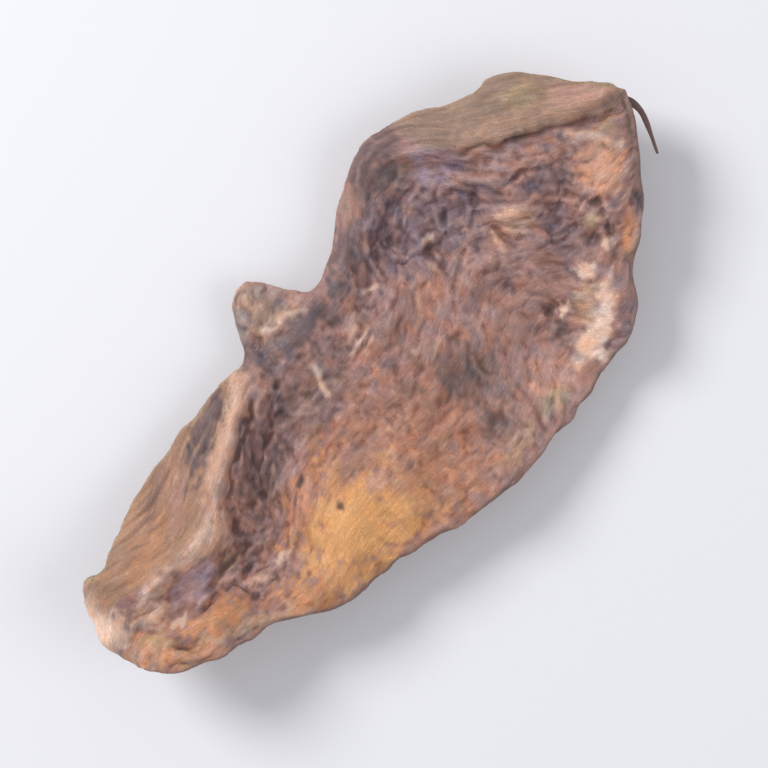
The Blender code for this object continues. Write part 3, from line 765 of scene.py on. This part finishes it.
def mottled(plan, tint):
    """Uneven drying: tones that change from cell to cell, and warmer and cooler patches."""
    u, v = drift(plan.x, plan.across, UPPER_SEED)
    broad = Cells(UPPER_SEED + 41, 1.7, 1.4)(u, v)[1] - 0.5
    small = Cells(UPPER_SEED + 42, 0.8, 1.3)(u, v)[1] - 0.5
    waves = Waves(COLOUR_SEED + 20, 1.6, 1.3, 0.9)(plan.x, plan.across)
    tone = BROAD_TONE * broad + SMALL_TONE * small + WAVE_TONE * limited(waves)
    warmth = limited(Waves(COLOUR_SEED + 22, 2.4, 1.0, 0.9)(plan.x, plan.across))
    calm = 1 - 0.7 * np.exp(-oval(plan.x, plan.y, *EVEN_TONED) ** 2) * plan.up
    calm *= 1 - 0.6 * plan.band
    warmth *= calm
    warm = 1 + np.array(WARMER) * warmth[:, None]
    return tint * warm * (1 + tone * calm)[:, None]


def pore_colours(plan):
    """The pore layer's colour at each point: stained above, plainer on the walls, streaked."""
    streak = Waves(COLOUR_SEED + 10, 0.6, 9.0, 0.8)(plan.x, plan.inward)
    streak = limited(streak) * (1 - plan.wall)
    broad_streak = Waves(COLOUR_SEED + 11, 1.6, 4.0, 0.8)(plan.x, plan.round_edge)
    broad_streak = limited(broad_streak)
    on_left = plan.x[:, None] < PORES_CHANGE_X
    tint = np.where(on_left, np.array(PORES_LEFT), np.array(PORES_RIGHT))
    tint = stained(plan, tint, PORE_REGIONS, plan.up)
    tint = blended(tint, PORES_OUTSIDE, plan.wall)
    return tint * (1 + PORE_STREAK_TONE * streak + PORE_BROAD_TONE * broad_streak)[:, None]


def shaded(surface, plan, tint):
    """Darkens what lies in hollows with painted shade and lightens what stands proud with painted
    highlight, which also stand for the darker creases and paler crests of dried flesh.
    """
    hollow, proud = np.zeros(surface.count), np.zeros(surface.count)
    for rounds, full_depth, darker, full_height, lighter in RELIEF_SHADES:
        depth = surface.hollowness(rounds)
        hollow += ease(depth / full_depth) * darker
        proud += ease(-depth / full_height) * lighter
    dark = tint * np.array(DEEP_SHADE)
    light = tint + (np.array(CREAM) - tint) * PROUD_HIGHLIGHT
    tint = tint + (dark - tint) * np.clip(hollow, 0, 1)[:, None]
    off_skin = 1 - SKIN_LESS_PROUD * plan.skin
    return tint + (light - tint) * np.clip(proud, 0, MOST_PROUD)[:, None] * off_skin[:, None]


def paint(surface):
    """Each point's colour, from where it is on the slice, with painted shade and highlight from how
    it is folded.
    """
    plan = Plan(surface)
    tint = np.tile(np.array(BROWN), (surface.count, 1))
    tint = blended(tint, TAN, UNDER_TAN * (1 - plan.up))
    tint = stained(plan, tint, REGIONS, plan.up)
    tint = stained(plan, tint, UNDER_REGIONS, 1 - plan.up)

    # Between its two shown stretches the pore layer is seen only from outside.
    left = ease((PORES_HIDDEN_X[0] - plan.x) / PORES_FADE)
    right = ease((plan.x - PORES_HIDDEN_X[1]) / PORES_FADE)
    shown = plan.band * np.maximum(np.maximum(left, right), 1 - plan.up)
    tint = blended(tint, pore_colours(plan), shown)

    tint = streaked_and_lit(plan, tint)
    tint = blended(tint, SKIN, plan.skin * SKIN_STRENGTH)
    tint = mottled(plan, tint)
    tint = spotted(plan, tint)
    tint = shaded(surface, plan, tint)
    return np.clip(tint, DARKEST, LIGHTEST), plan


def keep_values(mesh, name, values):
    """Stores a number, a vector or a colour at each point of a mesh."""
    kinds = {1: ("FLOAT", "value"), 3: ("FLOAT_VECTOR", "vector"), 4: ("FLOAT_COLOR", "color")}
    values = np.asarray(values, np.float32).reshape(len(mesh.vertices), -1)
    kind, field = kinds[values.shape[1]]
    mesh.attributes.new(name, kind, "POINT").data.foreach_set(field, values.ravel())


def keep_colours(surface):
    """Stores what the material reads at each point."""
    tint, plan = paint(surface)
    keep_values(surface.mesh, "tint", np.concatenate([tint, np.ones((surface.count, 1))], axis=1))
    keep_values(surface.mesh, "pore_mouths", plan.band * plan.wall)
    keep_values(surface.mesh, "pore_layer", plan.band)
    keep_values(surface.mesh, "cap_skin", plan.skin)
    keep_values(surface.mesh, "flow", np.stack([plan.x, plan.across, plan.z], axis=1))


class Nodes:
    """Short calls for a material's node tree."""

    def __init__(self, material):
        material.use_nodes = True
        self.tree = material.node_tree
        self.shader = self.tree.nodes["Principled BSDF"]

    def new(self, kind, **values):
        node = self.tree.nodes.new(kind)
        for name, value in values.items():
            setattr(node, name, value)
        return node

    def link(self, source, target):
        self.tree.links.new(source, target)

    def attribute(self, name):
        return self.new("ShaderNodeAttribute", attribute_name=name)

    def math(self, operation, a, b=None, clamp=False):
        node = self.new("ShaderNodeMath", operation=operation, use_clamp=clamp)
        for socket, value in zip(node.inputs, (a, b)):
            if value is None:
                continue
            if isinstance(value, (int, float)):
                socket.default_value = value
            else:
                self.link(value, socket)
        return node.outputs[0]

    def noise(self, vector, detail, roughness=0.6, distortion=0.0):
        node = self.new("ShaderNodeTexNoise")
        node.inputs["Scale"].default_value = 1.0
        node.inputs["Detail"].default_value = detail
        node.inputs["Roughness"].default_value = roughness
        node.inputs["Distortion"].default_value = distortion
        self.link(vector, node.inputs["Vector"])
        return node.outputs["Fac"]

    def stretched(self, vector, scale):
        node = self.new("ShaderNodeVectorMath", operation="MULTIPLY")
        self.link(vector, node.inputs[0])
        node.inputs[1].default_value = scale
        return node.outputs[0]

    def ramp(self, value, source, target):
        """Maps one range of a value onto another."""
        node = self.new("ShaderNodeMapRange")
        self.link(value, node.inputs["Value"])
        for name, number in zip(("From Min", "From Max", "To Min", "To Max"), (*source, *target)):
            node.inputs[name].default_value = number
        return node.outputs[0]

    def scaled_colour(self, colour, factor):
        node = self.new("ShaderNodeVectorMath", operation="SCALE")
        self.link(colour, node.inputs[0])
        self.link(factor, node.inputs["Scale"])
        return node.outputs[0]

    def bump(self, height, strength, distance_mm, normal=None):
        node = self.new("ShaderNodeBump")
        node.inputs["Strength"].default_value = strength
        node.inputs["Distance"].default_value = distance_mm * MM
        self.link(height, node.inputs["Height"])
        if normal is not None:
            self.link(normal, node.inputs["Normal"])
        return node.outputs[0]


def dried_mushroom():
    """Dry flesh with fibres drawn along it and fine crumples; tubes open outside the pore layer."""
    material = bpy.data.materials.new("dried_mushroom")
    nodes = Nodes(material)
    shader = nodes.shader
    tint = nodes.attribute("tint").outputs["Color"]
    flow = nodes.attribute("flow").outputs["Vector"]
    pore_layer = nodes.attribute("pore_layer").outputs["Fac"]
    pore_mouths = nodes.attribute("pore_mouths").outputs["Fac"]
    cap_skin = nodes.attribute("cap_skin").outputs["Fac"]

    # The fibres fade where the tubes open.
    fibres = nodes.noise(nodes.stretched(flow, (0.4, 4.4, 2.4)), detail=3.0, distortion=0.5)
    shown = nodes.ramp(pore_mouths, (0.0, 1.0), (1.0, 0.2))
    fibres = nodes.math("MULTIPLY", nodes.math("SUBTRACT", fibres, 0.5), shown)
    fibres = nodes.math("ADD", 0.5, fibres)
    threads = nodes.noise(nodes.stretched(flow, (0.7, 6.5, 4.0)), 2.0, 0.5, 0.9)
    crumples = nodes.noise(nodes.stretched(flow, (1.9, 2.8, 2.8)), 4.0, 0.62, 0.8)
    grain = nodes.noise(nodes.stretched(flow, (8.0, 10.0, 10.0)), detail=2.0)

    # Fine creases follow the lines where the crumples cross their middle height; in them the colour
    # is darkened as painted shade.
    crease = nodes.math("ABSOLUTE", nodes.math("SUBTRACT", crumples, 0.5))
    crease = nodes.ramp(crease, (0.0, 0.07), (0.0, 1.0))

    # Round tube mouths, darkened inside as painted shade.
    tubes = nodes.new("ShaderNodeTexVoronoi", feature="F1")
    tubes.inputs["Scale"].default_value = 1.0
    tubes.inputs["Randomness"].default_value = 0.8
    nodes.link(nodes.stretched(flow, (2.6, 2.2, 2.6)), tubes.inputs["Vector"])
    mouth = nodes.ramp(tubes.outputs["Distance"], (0.12, 0.42), (1.0, 0.0))
    mouth = nodes.math("MULTIPLY", mouth, pore_mouths)

    # Each texture darkens and lightens the stored colour; the darkening along the fine creases and
    # in the tube mouths is painted shade.
    shade = nodes.ramp(fibres, (0.25, 0.75), (0.84, 1.16))
    for texture, source, target in (
        (crumples, (0.2, 0.8), (0.84, 1.16)),
        (crease, (0.0, 1.0), (0.86, 1.02)),
        (grain, (0.2, 0.8), (0.92, 1.08)),
        (mouth, (0.0, 1.0), (1.0, 0.6)),
    ):
        shade = nodes.math("MULTIPLY", shade, nodes.ramp(texture, source, target))
    nodes.link(nodes.scaled_colour(tint, shade), shader.inputs["Base Color"])

    # The pore layer is duller than the flesh, and the skin of the cap smoother.
    duller = nodes.math("MULTIPLY", pore_layer, 0.12)
    smoother = nodes.math("MULTIPLY", cap_skin, 0.12)
    roughness = nodes.ramp(crumples, (0.2, 0.8), (0.42, 0.66))
    roughness = nodes.math("ADD", roughness, duller)
    roughness = nodes.math("SUBTRACT", roughness, smoother, clamp=True)
    nodes.link(roughness, shader.inputs["Roughness"])

    normal = nodes.bump(crumples, 0.6, 0.13)
    for texture, strength, distance_mm in (
        (crease, 0.35, 0.05),
        (fibres, 0.6, 0.09),
        (threads, 0.5, 0.05),
        (grain, 0.35, 0.03),
        (nodes.math("SUBTRACT", 1.0, mouth), 0.6, 0.14),
    ):
        normal = nodes.bump(texture, strength, distance_mm, normal)
    nodes.link(normal, shader.inputs["Normal"])

    for name, value in (
        ("Subsurface Weight", 0.14),
        ("Subsurface Radius", (1.0, 0.45, 0.2)),
        ("Subsurface Scale", 0.9 * MM),
        ("Specular IOR Level", 0.5),
        ("Sheen Weight", 0.04),
    ):
        shader.inputs[name].default_value = value
    return material


def make_slice(material):
    """Dresses the solid; gives back the dressed surface's points in millimetres."""
    mesh = fine_copy("porcini_slice")
    surface = Surface(mesh)
    surface.move_to(surface.averaged(surface.points, SOFTENING_ROUNDS))
    wrinkle_flesh(surface)
    wrinkle_pores(surface)
    wrinkle_skin(surface)
    carve_details(surface)
    surface.move_to(np.maximum(surface.points, (-np.inf, -np.inf, 0.0)))
    keep_colours(surface)
    piece = finish_piece(mesh, material)
    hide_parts("porcini_slice")
    return surface.points


def finish_piece(mesh, material):
    """Turns a mesh in millimetres into a piece of the scene."""
    mesh.transform(Matrix.Scale(MM, 4))
    mesh.shade_smooth()
    mesh.materials.clear()
    mesh.materials.append(material)
    piece = bpy.data.objects.new(mesh.name, mesh)
    bpy.context.scene.collection.objects.link(piece)
    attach(piece, "root")
    return piece


def middle_height(points, x, y, reach=0.5):
    """Half-way up the slice at a plan point."""
    near = np.hypot(points[:, 0] + PLAN_MIDDLE[0] - x, points[:, 1] + PLAN_MIDDLE[1] - y) < reach
    return (points[near, 2].max() + points[near, 2].min()) / 2


def make_peel(points, material):
    """A thin ragged strip of skin that hangs off the far corner."""
    # A smooth line through the path's points, with its sideways and upward directions.
    root = middle_height(points, *PEEL[0][:2])
    path = np.array(PEEL) + (-PLAN_MIDDLE[0], -PLAN_MIDDLE[1], root)
    knots, steps = np.arange(len(path)), np.linspace(0, len(path) - 1, PEEL_STEPS)
    line = np.stack([smooth_line(list(zip(knots, c)), steps) for c in path.T], axis=1)
    along = np.gradient(line, axis=0)
    side = np.cross(along, (0, 0, 1))
    side /= np.linalg.norm(side, axis=1)[:, None]
    up = np.cross(side, along)
    up /= np.linalg.norm(up, axis=1)[:, None]

    # Flat oval rings along it, smaller towards the tip.
    taper = np.sqrt(np.linspace(1, PEEL_TIP, PEEL_STEPS))
    ragged = 1 + 0.12 * Waves(PEEL_SEED, 2.2)(line[:, 0], line[:, 1])
    angle = np.linspace(0, 2 * np.pi, PEEL_SIDES, endpoint=False)[None, :, None]
    wide = (PEEL_HALF_WIDTH * taper * ragged)[:, None, None] * np.cos(angle)
    thick = (PEEL_HALF_THICKNESS * taper)[:, None, None] * np.sin(angle)
    corners = (line[:, None] + side[:, None] * wide + up[:, None] * thick).reshape(-1, 3)

    def corner(i, j):
        return i * PEEL_SIDES + j % PEEL_SIDES

    faces = [
        (corner(i, j), corner(i, j + 1), corner(i + 1, j + 1), corner(i + 1, j))
        for i in range(PEEL_STEPS - 1)
        for j in range(PEEL_SIDES)
    ]
    faces.append([corner(0, j) for j in reversed(range(PEEL_SIDES))])
    faces.append([corner(PEEL_STEPS - 1, j) for j in range(PEEL_SIDES)])
    mesh = bpy.data.meshes.new("peeled_skin")
    mesh.from_pydata(corners.tolist(), [], faces)
    keep_values(mesh, "tint", np.tile((*PEEL_COLOUR, 1.0), (len(corners), 1)))
    keep_values(mesh, "flow", corners)
    for name in ("pore_mouths", "pore_layer", "cap_skin"):
        keep_values(mesh, name, np.zeros(len(corners)))
    finish_piece(mesh, material)


def make_floor():
    material = bpy.data.materials.new("pale_floor")
    shader = Nodes(material).shader
    shader.inputs["Base Color"].default_value = (*FLOOR_COLOUR, 1.0)
    shader.inputs["Roughness"].default_value = FLOOR_ROUGHNESS
    bpy.ops.mesh.primitive_plane_add(size=FLOOR_SIZE)
    floor = bpy.context.active_object
    floor.name = "floor"
    floor.data.materials.append(material)


def soft_light(name, place, size, watts):
    """A round lamp that points at the middle of the slice."""
    light = bpy.data.lights.new(name, "AREA")
    light.shape = "DISK"
    light.size = size
    light.energy = watts
    lamp = bpy.data.objects.new(name, light)
    lamp.location = place
    lamp.rotation_euler = Vector(place).to_track_quat("Z", "Y").to_euler()
    bpy.context.scene.collection.objects.link(lamp)


def make_lights():
    for name, lamp in LAMPS.items():
        soft_light(name, *lamp)
    world = bpy.data.worlds.new("studio")
    world.use_nodes = True
    background = world.node_tree.nodes["Background"]
    background.inputs["Color"].default_value = ROOM_COLOUR
    background.inputs["Strength"].default_value = ROOM_STRENGTH
    bpy.context.scene.world = world


def make_camera():
    """Looks straight down, turned so that the slice lies across the picture as in the photo."""
    data = bpy.data.cameras.new("camera")
    data.lens = CAMERA_LENS
    data.clip_start = CLIP_START
    camera = bpy.data.objects.new("camera", data)
    half = math.sqrt(0.5)
    right, up, back = Vector((half, -half, 0)), Vector((half, half, 0)), Vector((0, 0, 1))
    turned = Matrix((right, up, back)).transposed().to_4x4()
    camera.matrix_world = Matrix.Translation(CAMERA_PLACE) @ turned
    bpy.context.scene.collection.objects.link(camera)
    bpy.context.scene.camera = camera


make_camera()
make_lights()
make_floor()
MUSHROOM = dried_mushroom()
make_peel(make_slice(MUSHROOM), MUSHROOM)
bpy.context.scene.view_settings.view_transform = "Standard"
